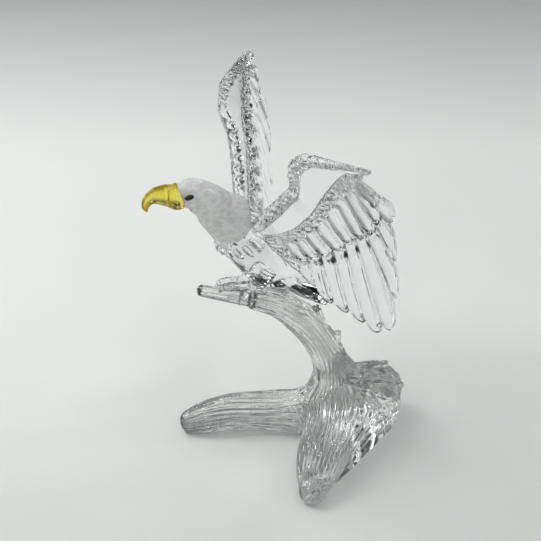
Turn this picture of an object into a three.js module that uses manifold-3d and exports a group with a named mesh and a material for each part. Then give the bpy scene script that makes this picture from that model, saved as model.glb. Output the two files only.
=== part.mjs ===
// Crystal eagle figurine: a clear eagle with raised wings, a satin head and a
// yellow beak, perched on a cast crystal branch that stands on two roots.
// Millimetres, +Z up. The eagle faces -X and its left wing is on -Y.
// The origin is on the flat underside of the base, under the trunk.

import * as THREE from 'three';
import Module from 'manifold-3d';
import { LoftGeometry } from 'three/addons/geometries/LoftGeometry.js';
import { mergeVertices } from 'three/addons/utils/BufferGeometryUtils.js';

const wasm = await Module();
wasm.setup();

// Main sizes: how far the perch reaches over the left root and how high it is, how far the two
// roots reach over the floor, and the spread of the wings from tip to tip
const perchReach = 46;
const perchHeight = 75;
const leftRootReach = 64.4;
const frontRootReach = 47.6;
const wingSpan = 144.6;

// Base: radii of the limbs, and the depth of the grooves in their bark
const trunkRadius = 6.4;
const leftRootRadius = 8;
const frontRootRadius = 11.4;
const stumpRadius = 13.2;
const twigRadius = 2.9;
const thornRadius = 2.6;
const barkDepth = 0.5;

// The flat flank under the stump: how far it is from the origin, and which way it looks
const flankDistance = 24;
const flankTurn = THREE.MathUtils.degToRad(-54.6);

// Eagle: body
const torsoHalfWidth = 11.8;
const tailHalfWidth = 9.6;
const tailThickness = 8;
const toeRadius = 2;
const headHalfWidth = 6.4;
const neckHalfWidth = 10.5;
const collarLag = 5;
const browTilt = 1.8;
const beakHalfWidth = 4.2;
const eyeLength = 3.9;
const eyeTilt = 0.12;

// Eagle: wings
const featherCount = 9;
const tipNotch = 4.6;
const leadingEdgeThickness = 3.8;
const membraneThickness = 1.8;
const covertThickness = 3.8;
const flightThickness = 2.8;
const tipThickness = 1.2;
const featherRelief = 0.55;
const serration = 0.6;
const edgeBandWidth = 3.2;
const rootBandWidth = 2.6;

// Clearance between glued pieces
const jointGap = 0.3;

// Facets around and along the limbs, and how far they may stray from the form
const trunkFlutes = 10;
const stationRings = 4;
const fineFlat = 0.08;

// A solid from a geometry, with shared vertices merged and collapsed triangles dropped
function solidOf(geometry) {
  const bare = new THREE.BufferGeometry();
  bare.setAttribute('position', geometry.getAttribute('position'));
  bare.setIndex(geometry.getIndex());
  const merged = mergeVertices(bare, 1e-4);
  const index = merged.getIndex().array;
  const triangles = [];
  for (let i = 0; i < index.length; i += 3) {
    const [a, b, c] = [index[i], index[i + 1], index[i + 2]];
    if (a !== b && b !== c && c !== a) triangles.push(a, b, c);
  }
  return new wasm.Manifold(new wasm.Mesh({
    numProp: 3,
    vertProperties: new Float32Array(merged.getAttribute('position').array),
    triVerts: new Uint32Array(triangles),
  }));
}

// The largest connected part of a solid, with faces that are flat within a tolerance joined
function mainPart(solid, tolerance = 0.01) {
  const parts = solid.simplify(tolerance).decompose();
  return parts.reduce((best, part) => (part.volume() > best.volume() ? part : best));
}

function geometryOf(solid) {
  const mesh = solid.getMesh();
  const geometry = new THREE.BufferGeometry();
  geometry.setAttribute('position', new THREE.BufferAttribute(mesh.vertProperties, 3));
  geometry.setIndex(new THREE.BufferAttribute(mesh.triVerts, 1));
  geometry.computeVertexNormals();
  return geometry;
}

function union(solids) {
  return solids.reduce((sum, solid) => sum.add(solid));
}

// Elliptical rings strung along a smooth path. A station is [x, y, z, half width, half height].
// The half width lies along the reference direction. An end profile lists [share of the last
// ring, distance beyond it], and closes the end in a point. Relief changes a ring's radius as a
// share of it, and lag pushes a ring's point along the path.
function strung(stations, reference, options) {
  const { sides, grow = 0, relief = () => 0, lag = () => 0 } = options;
  const { startProfile = [[0, 0]], endProfile = [[0, 0]] } = options;
  const path = new THREE.CatmullRomCurve3(stations.map(([x, y, z]) => new THREE.Vector3(x, y, z)));
  const girth = new THREE.CatmullRomCurve3(stations.map(([, , , w, h]) => new THREE.Vector3(w, h, 0)));
  const steps = (options.rings ?? stationRings) * (stations.length - 1);

  function ring(t, share, beyond) {
    const centre = path.getPoint(t);
    const along = path.getTangent(t);
    const across = reference.clone().addScaledVector(along, -reference.dot(along)).normalize();
    const over = across.clone().cross(along);
    const size = girth.getPoint(t);
    const points = [];
    for (let j = 0; j < sides; j += 1) {
      const angle = (j / sides) * 2 * Math.PI;
      const swell = share * (1 + relief(angle, t, j));
      points.push(centre.clone()
        .addScaledVector(over, (size.y + grow) * swell * Math.cos(angle))
        .addScaledVector(across, (size.x + grow) * swell * Math.sin(angle))
        .addScaledVector(along, beyond + share * lag(angle, t)));
    }
    return points;
  }

  const sections = [];
  [...startProfile].reverse().forEach(([share, beyond]) => sections.push(ring(0, share, -beyond - grow)));
  for (let i = 0; i <= steps; i += 1) {
    const end = (i === steps ? grow : 0) - (i === 0 ? grow : 0);
    sections.push(ring(i / steps, 1, end));
  }
  endProfile.forEach(([share, beyond]) => sections.push(ring(1, share, beyond + grow)));
  return solidOf(new LoftGeometry(sections));
}

const acrossY = new THREE.Vector3(0, 1, 0);
const upZ = new THREE.Vector3(0, 0, 1);
const roundEnd = (radius) => [[0.8, radius * 0.6], [0.45, radius * 0.88], [0, radius]];

// Bark: a zigzag of grooves that run with the limb, deeper and shallower round it
function bark(radius) {
  return (angle, t, j) => {
    const groove = j % 2 === 0 ? 0 : -barkDepth * (1 + 0.5 * Math.sin(3 * angle + 5 * t)) / radius;
    return groove + 0.03 * Math.sin(2 * angle + 7 * t);
  };
}

// Trunk and perch in one limb, from under the floor to the cut end of the branch. A station is
// [way out, height, half width, half height], as shares of the perch's place and of the radius.
function branchStations(radius, points) {
  return points.map(([out, up, w, h]) => [-out * perchReach, 0, up * perchHeight, w * radius, h * radius]);
}
const trunkStations = branchStations(trunkRadius, [
  [-0.043, -0.08, 2.1, 2.1],
  [-0.017, 0.133, 1.75, 1.75],
  [0.03, 0.347, 1.34, 1.34],
  [0.117, 0.493, 1.14, 1.12],
  [0.278, 0.677, 1.04, 1.02],
  [0.478, 0.837, 1, 0.98],
  [0.678, 0.921, 0.9, 0.87],
  [0.861, 0.967, 0.76, 0.72],
  [0.891, 0.973, 0.6, 0.56],
  [1.098, 1.016, 0.46, 0.43],
  [1.343, 1.076, 0.38, 0.36],
]);

// The branch top between the feet: the eagle's own points are measured from here
const perchRadius = trunkRadius * 0.42;
const perch = new THREE.Vector3(-perchReach, 0, perchHeight + perchRadius);

// Roots: each lies on the floor. A station is [x, y, share of the radius, share for its height],
// with x and y as shares of the root's reach.
function rootStations(radius, reach, points) {
  return points.map(([x, y, share, height]) => (
    [x * reach, y * reach, radius * height, share * radius, share * radius]));
}
const leftRootStations = rootStations(leftRootRadius, leftRootReach, [
  [0.062, -0.062, 1.25, 1.15],
  [-0.186, -0.019, 1.25, 1.05],
  [-0.373, 0.078, 1.1, 0.95],
  [-0.565, 0.152, 1.02, 0.9],
  [-0.738, 0.199, 0.94, 0.88],
  [-0.885, 0.217, 0.84, 0.78],
  [-1, 0.245, 0.6, 0.54],
]);
const frontRootStations = rootStations(frontRootRadius, frontRootReach, [
  [0.084, 0.084, 1.1, 1.1],
  [-0.074, -0.168, 1.18, 1.05],
  [-0.231, -0.42, 1.06, 0.95],
  [-0.395, -0.651, 0.95, 0.82],
  [-0.546, -0.861, 0.76, 0.62],
  [-0.643, -1, 0.5, 0.42],
]);
const buttressStations = rootStations(frontRootRadius, frontRootReach, [
  [0.168, 0.126, 0.9, 0.6],
  [0.294, 0, 1.15, 0.7],
  [0.263, -0.221, 1.15, 0.7],
  [0.084, -0.441, 1, 0.6],
  [-0.168, -0.651, 0.7, 0.5],
]);

// The sawn-off stump looks to the right and up, with a raised rim round a knot
const stumpStations = [
  [8.4, 0, 10.4, 0.8, 0.8],
  [12, -6, 15.6, 0.98, 0.98],
  [15, -12.4, 21.2, 1, 1],
].map(([x, y, z, w, h]) => [x, y, z, w * stumpRadius, h * stumpRadius]);
const stumpCut = [[0.86, 1.2], [0.7, -0.8], [0.48, -2.4], [0.4, 0.2], [0, 0.6]];

const twigStations = branchStations(twigRadius, [
  [0.13, 0.56, 1.1, 1.1],
  [0.204, 0.72, 1, 1],
  [0.248, 0.821, 0.95, 0.8],
]);

const thornStations = branchStations(thornRadius, [
  [0.141, 0.547, 1.6, 1.6],
  [0.048, 0.597, 1, 1],
  [-0.026, 0.627, 0.25, 0.25],
]);

// Cuts with a block that is larger than the figurine: what is above the floor plane, and what
// is behind the flat flank, which moves out as the pieces grow
const blockSize = 400;
function cutAtFloor(solid) {
  const block = new THREE.BoxGeometry(blockSize, blockSize, blockSize);
  block.translate(0, 0, blockSize / 2);
  return solid.intersect(solidOf(block));
}
function cutAtFlank(solid, grow) {
  const block = new THREE.BoxGeometry(blockSize, blockSize, blockSize);
  block.translate(flankDistance + grow + blockSize / 2, 0, 0);
  block.rotateZ(flankTurn);
  return solid.subtract(solidOf(block));
}

function baseSolid(grow) {
  const trunk = strung(trunkStations, acrossY, {
    sides: 2 * trunkFlutes,
    rings: 2,
    grow,
    relief: bark(trunkRadius),
    endProfile: [[0.82, 0.7], [0, 0.9]],
  });
  const leftRoot = strung(leftRootStations, upZ, {
    sides: 2 * trunkFlutes,
    rings: 3,
    grow,
    relief: bark(leftRootRadius),
    endProfile: roundEnd(leftRootRadius * 0.5),
  });
  const frontRoot = strung(frontRootStations, upZ, {
    sides: 2 * trunkFlutes,
    rings: 3,
    grow,
    relief: bark(frontRootRadius),
    endProfile: roundEnd(frontRootRadius * 0.5),
  });
  const buttress = strung(buttressStations, upZ, {
    sides: 12,
    rings: 2,
    grow,
    endProfile: roundEnd(frontRootRadius * 0.5),
  });
  const stump = strung(stumpStations, acrossY, {
    sides: 2 * trunkFlutes,
    rings: 3,
    grow,
    relief: bark(stumpRadius),
    endProfile: stumpCut,
  });
  const twig = strung(twigStations, acrossY, { sides: 10, rings: 2, grow });
  const thorn = strung(thornStations, acrossY, { sides: 8, rings: 2, grow });
  return union([trunk, leftRoot, frontRoot, cutAtFlank(buttress.add(stump), grow), twig, thorn]);
}

// Head and neck: one satin piece from behind the beak to the collar, whose sides run further back
const headStations = [
  [-22.9, 0, 47.2, 0.62, 0.82],
  [-18.7, 0, 47.1, 0.9, 1.0],
  [-11.6, 0, 42.6, 1.1, 1.16],
  [-8.3, 0, 38.7, 1.26, 1.36],
  [-3.5, 0, 34.2, neckHalfWidth / headHalfWidth, 1.62],
].map(([x, y, z, w, h]) => [x, y, z, w * headHalfWidth, h * headHalfWidth]);

function headSolid(grow) {
  return strung(headStations, acrossY, {
    sides: 18,
    rings: 2,
    grow,
    lag: (angle, t) => collarLag * t * t * Math.sin(angle) ** 2 + browTilt * (1 - t) ** 2 * Math.cos(angle),
    startProfile: [[0.8, 0.6], [0, 1]],
    endProfile: [[0.6, 0.4], [0, 1]],
  });
}

// Torso: broad at the shoulders, and cut in flat facets
function torsoSolid(grow) {
  const stations = [
    [-7.4, 0, 34.9, 0.34, 0.36],
    [-4.5, 0, 32.1, 0.64, 0.66],
    [0.6, 0, 27.2, 0.88, 0.93],
    [6.8, 0, 19.5, 1, 1.02],
    [11.6, 0, 13.2, 0.96, 0.92],
    [16.6, 0, 7.6, 0.82, 0.76],
    [21.5, 0, 3.5, 0.64, 0.5],
    [24, 0, 1, 0.5, 0.34],
  ].map(([x, y, z, w, h]) => [x, y, z, w * torsoHalfWidth, h * torsoHalfWidth]);
  return strung(stations, acrossY, { sides: 14, rings: 2, grow });
}

// Tail: a flat wedge with cut facets that rests over the twig
function tailSolid() {
  const thick = tailThickness / 2;
  const stations = [
    [18, 0, 5, tailHalfWidth * 0.66, thick * 1.35],
    [28, 0, -3, tailHalfWidth * 0.84, thick * 1.1],
    [36, 0, -8.6, tailHalfWidth, thick * 0.8],
  ];
  return strung(stations, acrossY, { sides: 8, rings: 1, endProfile: [[0.86, 1], [0, 1]] });
}

// One leg with its feathered thigh, three toes and their claws; side is -1 left, 1 right
function footSolid(side) {
  const toe = (points) => strung(
    points.map(([x, y, z, share]) => [x, side * y, z, share * toeRadius, share * toeRadius]),
    acrossY,
    { sides: 8, rings: 2, endProfile: [[0, toeRadius * 0.3]] },
  );
  return union([
    toe([[12, 6, 11, 3], [8, 5.4, 6, 2.1], [5, 4, 2.6, 1.2]]),
    toe([[7, 3.4, 3, 1.1], [1, 2.3, 2.9, 1.05], [-4, 2.2, 3.6, 1], [-7, 2.2, 3.6, 0.75], [-8.8, 2.2, 2.2, 0.25]]),
    toe([[5, 3.4, 2.6, 1.05], [2, 4.2, 1.8, 1], [0, 5.4, -0.8, 0.8], [-1.2, 5, -3.8, 0.3]]),
    toe([[4, 3, 2.2, 1], [8.5, 3.6, 1.6, 0.95], [10.5, 4.6, -0.6, 0.5]]),
  ]);
}

function eyeSolid(side, grow) {
  const half = eyeLength / 2;
  const ball = new THREE.SphereGeometry(1, 12, 6);
  ball.scale(half + grow, half * 0.5 + grow, half * 0.56 + grow);
  ball.rotateY(-eyeTilt);
  ball.translate(-20.9, side * 5.1, 48.5);
  return solidOf(ball);
}

const beakStations = [
  [-20, 0, 46.6, 0.7, 0.8],
  [-23.3, 0, 47.1, 1, 1.36],
  [-28.4, 0, 48.5, 0.84, 1.08],
  [-33.2, 0, 48.8, 0.6, 0.8],
  [-35.9, 0, 47.2, 0.4, 0.55],
  [-36.9, 0, 44.6, 0.22, 0.32],
  [-36.6, 0, 42.8, 0.08, 0.1],
].map(([x, y, z, w, h]) => [x, y, z, w * beakHalfWidth, h * beakHalfWidth]);

function beakSolid() {
  return strung(beakStations, acrossY, { sides: 12, rings: 2 });
}

// Wing: four lines from the torso outwards, as [back, out, up] from the perch. The first point
// of each is inside the torso, where the wing is rooted, the next nine are at the middle of
// each of nine shares of the span, and the last is at the wing's outer end.
const leadingEdge = [
  [2.5, 4, 31], [4.7, 16.5, 43.3], [6.4, 23, 50], [7.4, 31, 57.6], [6.4, 41.2, 66.2], [7, 40, 74.2],
  [10.6, 41.6, 77.4], [15.2, 46.8, 77.8], [20, 52.4, 77.9], [25, 58.2, 77.8], [28.6, 62.4, 77.5],
];
const featherRoots = [
  [9, 6, 25], [14, 22.5, 32.8], [15.8, 28.5, 36.9], [17.2, 33.2, 42.2], [18.7, 39.6, 49.6], [20.2, 46.3, 58.1],
  [21.4, 52.2, 65.5], [22, 56, 70], [22.4, 58.4, 72.4], [22.8, 60, 73.8], [23.6, 61, 74.6],
];
const covertTips = [
  [12, 6.5, 22], [18.7, 27.2, 25.7], [20.6, 34, 29.4], [22.7, 41.2, 34.4], [24.5, 48.2, 40.2], [26.1, 54.4, 46],
  [27.9, 59.6, 50], [29.8, 63.3, 53.5], [31.2, 65.6, 59], [29.6, 67.2, 67.2], [28.4, 66.6, 70.6],
];
const featherTips = [
  [14, 7, 20], [22.1, 26, 13.2], [25.8, 34.4, 9], [29.2, 42.4, 8.4], [32.2, 50.7, 8.4], [35.4, 59, 7.5],
  [38.6, 66, 12.7], [38.6, 69, 33.6], [36.7, 69, 46.6], [33.3, 72.3, 65.1], [31.6, 71.4, 69.4],
];
const rootShare = 0.12;

// A smooth line through such points, for a share u of the span from -rootShare to 1. The ways
// out are stretched, so that the widest feather tip is at half the wing span.
const widest = Math.max(...featherTips.map(([, out]) => out));
const spread = wingSpan / 2 / widest;
function spanLine(points) {
  const [rooted, first, second, ...others] = points.map(([back, out, up]) => (
    new THREE.Vector3(back, out * spread, up)));
  const nodes = [rooted, first.clone().lerp(second, -0.5), first, second, ...others];
  const middles = points.length - 2;
  const places = [-rootShare, 0];
  for (let i = 0; i < middles; i += 1) places.push((i + 0.5) / middles);
  places.push(1);
  const curve = new THREE.CatmullRomCurve3(nodes);
  const spans = nodes.length - 1;
  return (u) => {
    let i = 0;
    while (i < spans - 1 && u > places[i + 1]) i += 1;
    const within = (u - places[i]) / (places[i + 1] - places[i]);
    return curve.getPoint(THREE.MathUtils.clamp((i + within) / spans, 0, 1));
  };
}
const lines = [leadingEdge, featherRoots, covertTips, featherTips].map(spanLine);

// Bands across the wing. A band lies in one of three strips: 0 is the membrane, 1 the coverts
// and 2 the flight feathers. Its place is a share of the strip, or a width from one of its
// edges where the strip is broad enough. Then come its thickness and its kind of relief.
const fromStart = (width, most) => (length) => Math.min(width / length, most);
const fromEnd = (width, most) => (length) => 1 - Math.min(width / length, most);
const share = (value) => () => value;
const bands = [
  [0, share(0), leadingEdgeThickness * 0.45, 'scale'],
  [0, fromStart(edgeBandWidth * 0.4, 0.15), leadingEdgeThickness, 'scale'],
  [0, fromStart(edgeBandWidth, 0.35), leadingEdgeThickness * 0.85, 'scale'],
  [0, fromStart(edgeBandWidth + 0.5, 0.42), membraneThickness, 'plain'],
  [0, fromEnd(rootBandWidth + 0.5, 0.42), membraneThickness, 'plain'],
  [0, fromEnd(rootBandWidth, 0.35), covertThickness * 0.85, 'scale'],
  [1, share(0.04), covertThickness, 'covert'],
  [1, share(0.5), covertThickness * 1.08, 'covert'],
  [1, share(0.94), covertThickness * 0.95, 'covert'],
  [2, share(0.04), flightThickness, 'flight'],
  [2, share(0.5), flightThickness * 1.05, 'flight'],
  [2, share(0.85), flightThickness * 0.95, 'flight'],
  [2, share(1), tipThickness, 'flight'],
];
const columnsPerFeather = 4;
const rootColumns = 2;

// A point of the wing's middle surface, with or without the notches between the feather tips
function wingMiddle(u, strip, place, notched = true) {
  const start = lines[strip](u);
  const end = lines[strip + 1](u);
  const phase = u * featherCount - Math.floor(u * featherCount);
  const round = notched && strip === 2 && u >= 0 ? Math.abs(2 * phase - 1) ** 3 : 0;
  const reach = 1 - (round * tipNotch * place ** 2) / start.distanceTo(end);
  return start.lerp(end, place * reach);
}

function wingThicknessAt(u, thickness, kind) {
  const wave = Math.cos(2 * Math.PI * u * featherCount);
  if (u < 0 || kind === 'plain') return thickness;
  if (kind === 'scale') return thickness + serration * Math.cos(4 * Math.PI * u * featherCount);
  return thickness - 2 * featherRelief * wave * Math.min(1, thickness / flightThickness);
}

// The direction that the wing's front face looks in: across the feathers and the span
function faceNormal(u, strip, place) {
  const along = (k) => lines[k + 1](u).sub(lines[k](u)).normalize();
  const chord = along(strip);
  if (strip < 2 && place > 0.5) chord.lerp(along(strip + 1), place - 0.5);
  if (strip > 0 && place < 0.5) chord.lerp(along(strip - 1), 0.5 - place);
  const middle = strip === 0 ? 0.6 : place;
  const step = 0.03;
  const span = wingMiddle(Math.min(u + step, 1), strip, middle, false)
    .sub(wingMiddle(Math.max(u - step, -rootShare), strip, middle, false));
  return chord.cross(span).normalize();
}

// A plate between a front and a back grid of points, closed round its edge
function plateGeometry(front, back) {
  const rows = front.length;
  const columns = front[0].length;
  const positions = [...front, ...back].flat().flatMap((p) => p.toArray());
  const at = (layer, i, j) => (layer * rows + i) * columns + j;
  const index = [];
  const quad = (a, b, c, d) => index.push(a, b, c, a, c, d);
  for (let i = 0; i < rows - 1; i += 1) {
    for (let j = 0; j < columns - 1; j += 1) {
      quad(at(0, i, j), at(0, i, j + 1), at(0, i + 1, j + 1), at(0, i + 1, j));
      quad(at(1, i, j), at(1, i + 1, j), at(1, i + 1, j + 1), at(1, i, j + 1));
    }
    quad(at(0, i, 0), at(0, i + 1, 0), at(1, i + 1, 0), at(1, i, 0));
    quad(at(0, i, columns - 1), at(1, i, columns - 1), at(1, i + 1, columns - 1), at(0, i + 1, columns - 1));
  }
  for (let j = 0; j < columns - 1; j += 1) {
    quad(at(0, 0, j), at(1, 0, j), at(1, 0, j + 1), at(0, 0, j + 1));
    quad(at(0, rows - 1, j), at(0, rows - 1, j + 1), at(1, rows - 1, j + 1), at(1, rows - 1, j));
  }
  const geometry = new THREE.BufferGeometry();
  geometry.setAttribute('position', new THREE.Float32BufferAttribute(positions, 3));
  geometry.setIndex(index);
  return geometry;
}

function wingSolid(side) {
  const columns = featherCount * columnsPerFeather;
  const spans = [];
  for (let j = -rootColumns; j <= columns; j += 1) {
    spans.push(j < 0 ? (j / rootColumns) * rootShare : j / columns);
  }
  const grids = [1, -1].map((face) => spans.map((u) => bands.map(([strip, placeAt, thickness, kind]) => {
    const place = placeAt(lines[strip](u).distanceTo(lines[strip + 1](u)));
    const point = wingMiddle(u, strip, place);
    point.addScaledVector(faceNormal(u, strip, place), face * wingThicknessAt(u, thickness, kind) / 2);
    return new THREE.Vector3(point.x, side * point.y, point.z);
  })));
  const [one, other] = side > 0 ? grids : [grids[1], grids[0]];
  return solidOf(plateGeometry(one, other));
}

// Fit the pieces to each other, in the eagle's own frame, with its base moved under it
const base = cutAtFloor(baseSolid(0));
const baseSeat = baseSolid(jointGap).translate(-perch.x, -perch.y, -perch.z);
const headSeat = headSolid(jointGap);
const torsoSeat = torsoSolid(jointGap);
const sides = { left: -1, right: 1 };

const body = mainPart(union([torsoSolid(0), tailSolid(), footSolid(sides.left), footSolid(sides.right)])
  .subtract(baseSeat).subtract(headSeat), fineFlat);
const head = mainPart(headSolid(0)
  .subtract(eyeSolid(sides.left, jointGap)).subtract(eyeSolid(sides.right, jointGap)));
const beak = mainPart(beakSolid().subtract(headSeat));
const wing = (side) => mainPart(wingSolid(side).subtract(torsoSeat).subtract(headSeat), fineFlat);

// Materials
const clearCrystal = new THREE.MeshStandardMaterial({
  color: 0xeef2f2, roughness: 0.02, metalness: 0, transparent: true, opacity: 0.4,
});
const satinCrystal = new THREE.MeshStandardMaterial({
  color: 0xe2e3e1, roughness: 0.55, metalness: 0, transparent: true, opacity: 0.85,
});
const yellowCrystal = new THREE.MeshStandardMaterial({
  color: 0xdcb41e, roughness: 0.05, metalness: 0, transparent: true, opacity: 0.8,
});
const blackGlass = new THREE.MeshStandardMaterial({ color: 0x0a0a0a, roughness: 0.1, metalness: 0 });

function named(name, solid, material) {
  const mesh = new THREE.Mesh(geometryOf(solid), material);
  mesh.name = name;
  return mesh;
}

const figurine = new THREE.Group();
figurine.add(named('branch_base', mainPart(base, fineFlat), clearCrystal));

const eagle = new THREE.Group();
eagle.position.copy(perch);
eagle.add(named('body', body, clearCrystal));
eagle.add(named('head', head, satinCrystal));
eagle.add(named('beak', beak, yellowCrystal));
Object.entries(sides).forEach(([name, side]) => {
  eagle.add(named(`${name}_wing`, wing(side), clearCrystal));
  eagle.add(named(`${name}_eye`, eyeSolid(side, 0), blackGlass));
});
figurine.add(eagle);

export default figurine;
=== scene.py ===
"""Crystal eagle figurine: a clear eagle with raised wings on a cast crystal branch.

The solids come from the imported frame. Each section below replaces one of them with a fine
surface of the same form. Blender works in metres, and the sizes written here are millimetres.
"""

import bmesh
import bpy
import numpy as np
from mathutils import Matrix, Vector


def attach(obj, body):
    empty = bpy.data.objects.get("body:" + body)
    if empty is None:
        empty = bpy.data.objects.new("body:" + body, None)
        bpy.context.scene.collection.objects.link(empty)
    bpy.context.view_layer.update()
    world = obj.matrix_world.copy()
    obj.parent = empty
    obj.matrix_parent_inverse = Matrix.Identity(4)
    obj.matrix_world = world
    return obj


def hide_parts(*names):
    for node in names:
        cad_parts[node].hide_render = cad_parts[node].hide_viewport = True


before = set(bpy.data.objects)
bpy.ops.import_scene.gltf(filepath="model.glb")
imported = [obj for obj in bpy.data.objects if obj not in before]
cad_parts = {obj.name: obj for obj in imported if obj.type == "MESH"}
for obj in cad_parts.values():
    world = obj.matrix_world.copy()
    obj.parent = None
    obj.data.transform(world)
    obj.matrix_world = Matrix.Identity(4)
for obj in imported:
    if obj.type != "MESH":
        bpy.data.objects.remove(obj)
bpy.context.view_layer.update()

# Branch base: one clear casting of a trunk that bends into the perch, with two roots, a
# buttress, a sawn-off stump and two broken twigs. It is heavy lead crystal, pressed in a
# mould whose walls carry the bark's long grooves, then fire-polished and ground flat below.
mm = 0.001
perch_reach = 46
perch_height = 75
left_root_reach = 64.4
front_root_reach = 47.6
trunk_radius = 6.4
left_root_radius = 8.0
front_root_radius = 11.4
stump_radius = 13.2
twig_radius = 2.9
thorn_radius = 2.6
flank_distance = 24
flank_turn = np.radians(-54.6)
flank_looks = np.array([np.cos(flank_turn), np.sin(flank_turn), 0])
bark_depth = 2.2
valley_softness = 0.03
valley_mean = 0.66
bark_focus = 14
bark_left_on_flank = 0.25
knot_height = 1.7
ray_height = 2.0
rim_height = 0.8
crease_reach = 9
crease_lift = 1.25
crease_passes = 90
base_grain = 0.41
axis_points = 120
crystal_ior = 1.54
heavy_crystal_ior = 1.7
up = (0, 0, 1)
sideways = (0, 1, 0)


def unit(vectors):
    """Vectors over their own lengths."""
    return vectors / np.linalg.norm(vectors, axis=-1, keepdims=True)


def smooth_line(points, share):
    """Centripetal Catmull-Rom line at each share of its length. On the stretch from b to c,
    between a and d, it is the cubic b + m w + (3 (c - b) - 2 m - n) w^2 + (2 (b - c) + m + n) w^3,
    whose end slopes m and n come from knots spaced by the square root of the distance. A
    spacing of nothing, where a size stays the same, counts as its neighbour's."""
    points = np.asarray(points, float)
    knots = np.vstack([2 * points[0] - points[1], points, 2 * points[-1] - points[-2]])
    spacing = np.sqrt(np.linalg.norm(np.diff(knots, axis=0), axis=1))
    spans = len(points) - 1
    stretch = np.minimum((share * spans).astype(int), spans - 1)
    w = (share * spans - stretch)[:, None]
    a, b, c, d = (knots[stretch + k] for k in range(4))
    before, here, after = (spacing[stretch + k][:, None] for k in range(3))
    here = np.where(here < 1e-2, 1, here)
    before = np.where(before < 1e-2, here, before)
    after = np.where(after < 1e-2, here, after)
    m = ((b - a) / before - (c - a) / (before + here) + (c - b) / here) * here
    n = ((c - b) / here - (d - b) / (here + after) + (d - c) / after) * here
    return b + m * w + (3 * (c - b) - 2 * m - n) * w**2 + (2 * (b - c) + m + n) * w**3


def limb_frame(stations, reference, share):
    """Centre, direction, across, over and half sizes of a limb at each share of its length.
    The across direction is the reference direction, made square to the limb."""
    stations = np.asarray(stations, float)
    step = 1e-4
    centre = smooth_line(stations[:, :3], share)
    ahead = smooth_line(stations[:, :3], np.clip(share + step, 0, 1))
    behind = smooth_line(stations[:, :3], np.clip(share - step, 0, 1))
    along = unit(ahead - behind)
    reference = np.asarray(reference, float)
    across = unit(reference - (along @ reference)[:, None] * along)
    over = np.cross(across, along)
    return centre, along, across, over, smooth_line(stations[:, 3:], share)


def limb(stations, reference, sides, rings, start=((0, 0),), end=((0, 0),), grow=0, relief=None, lag=None):
    """Closed rings round a limb. At share t and angle a the point is centre + height cos(a) over
    + width sin(a) across. An end profile shrinks the last ring by a share, at a way beyond it.
    Relief adds to the radius in millimetres, and lag pushes a point along the limb."""
    start = np.asarray(start, float)[::-1]
    end = np.asarray(end, float)
    body = np.linspace(0, 1, rings * (len(stations) - 1) + 1)
    share = np.concatenate([np.zeros(len(start)), body, np.ones(len(end))])
    shrink = np.concatenate([start[:, 0], np.ones(len(body)), end[:, 0]])
    beyond = np.concatenate([-start[:, 1] - grow, np.zeros(len(body)), end[:, 1] + grow])
    beyond[len(start)] -= grow
    beyond[-len(end) - 1] += grow
    centre, along, across, over, half = limb_frame(stations, reference, share)
    angle = np.linspace(0, 2 * np.pi, sides, endpoint=False)[None, :]
    extra = grow + (relief(angle, share[:, None]) if relief else 0)
    high = (half[:, 1:2] + extra) * shrink[:, None] * np.cos(angle)
    wide = (half[:, 0:1] + extra) * shrink[:, None] * np.sin(angle)
    push = beyond[:, None] + (shrink[:, None] * lag(angle, share[:, None]) if lag else 0)
    push = np.broadcast_to(push, high.shape)
    return (centre[:, None] + high[..., None] * over[:, None] + wide[..., None] * across[:, None]
            + push[..., None] * along[:, None])


def closed_shell(rings):
    """Points and quads of a shell: point j of ring i joins point j + 1 and ring i + 1."""
    rows, sides = rings.shape[:2]
    i, j = np.meshgrid(np.arange(rows - 1), np.arange(sides), indexing="ij")
    k = (j + 1) % sides
    quads = np.stack([i * sides + j, i * sides + k, (i + 1) * sides + k, (i + 1) * sides + j], axis=-1)
    return rings.reshape(-1, 3), quads.reshape(-1, 4)


def new_piece(name, shells, weld=0.002):
    """One object from (points in millimetres, faces) shells. Points that lie closer together
    than the weld are joined, which closes the poles and seams of a shell of rings."""
    starts = np.cumsum([0] + [len(points) for points, _ in shells])
    points = np.vstack([points for points, _ in shells]) * mm
    faces = np.vstack([quads + first for (_, quads), first in zip(shells, starts)])
    mesh = bpy.data.meshes.new(name)
    mesh.from_pydata(points.tolist(), [], faces.tolist())
    work = bmesh.new()
    work.from_mesh(mesh)
    bmesh.ops.remove_doubles(work, verts=work.verts, dist=weld * mm)
    work.to_mesh(mesh)
    work.free()
    piece = bpy.data.objects.new(name, mesh)
    bpy.context.scene.collection.objects.link(piece)
    return piece


def settle(piece):
    """Applies a piece's modifiers to its mesh."""
    depsgraph = bpy.context.evaluated_depsgraph_get()
    rough = piece.data
    piece.data = bpy.data.meshes.new_from_object(piece.evaluated_get(depsgraph))
    piece.modifiers.clear()
    bpy.data.meshes.remove(rough)


def one_skin(piece, grain):
    """Melts a piece's overlapping shells into one skin of even quads."""
    melt = piece.modifiers.new("melt", "REMESH")
    melt.mode = "VOXEL"
    melt.voxel_size = grain * mm
    settle(piece)


def read_points(mesh, field="co"):
    """A mesh's points, or its normals, as an array."""
    values = np.empty(len(mesh.vertices) * 3, np.float32)
    mesh.vertices.foreach_get(field, values)
    return values.reshape(-1, 3).astype(float)


def neighbour_mean(mesh):
    """A function that gives, for an array of a mesh's points, the mean of each one's neighbours."""
    pairs = np.empty(len(mesh.edges) * 2, np.int32)
    mesh.edges.foreach_get("vertices", pairs)
    one, other = pairs.reshape(-1, 2).T
    size = len(mesh.vertices)
    count = np.bincount(one, minlength=size) + np.bincount(other, minlength=size)

    def mean(points):
        total = [np.bincount(one, points[other, axis], size) + np.bincount(other, points[one, axis], size)
                 for axis in range(3)]
        return np.stack(total, axis=1) / count[:, None]

    return mean


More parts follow.
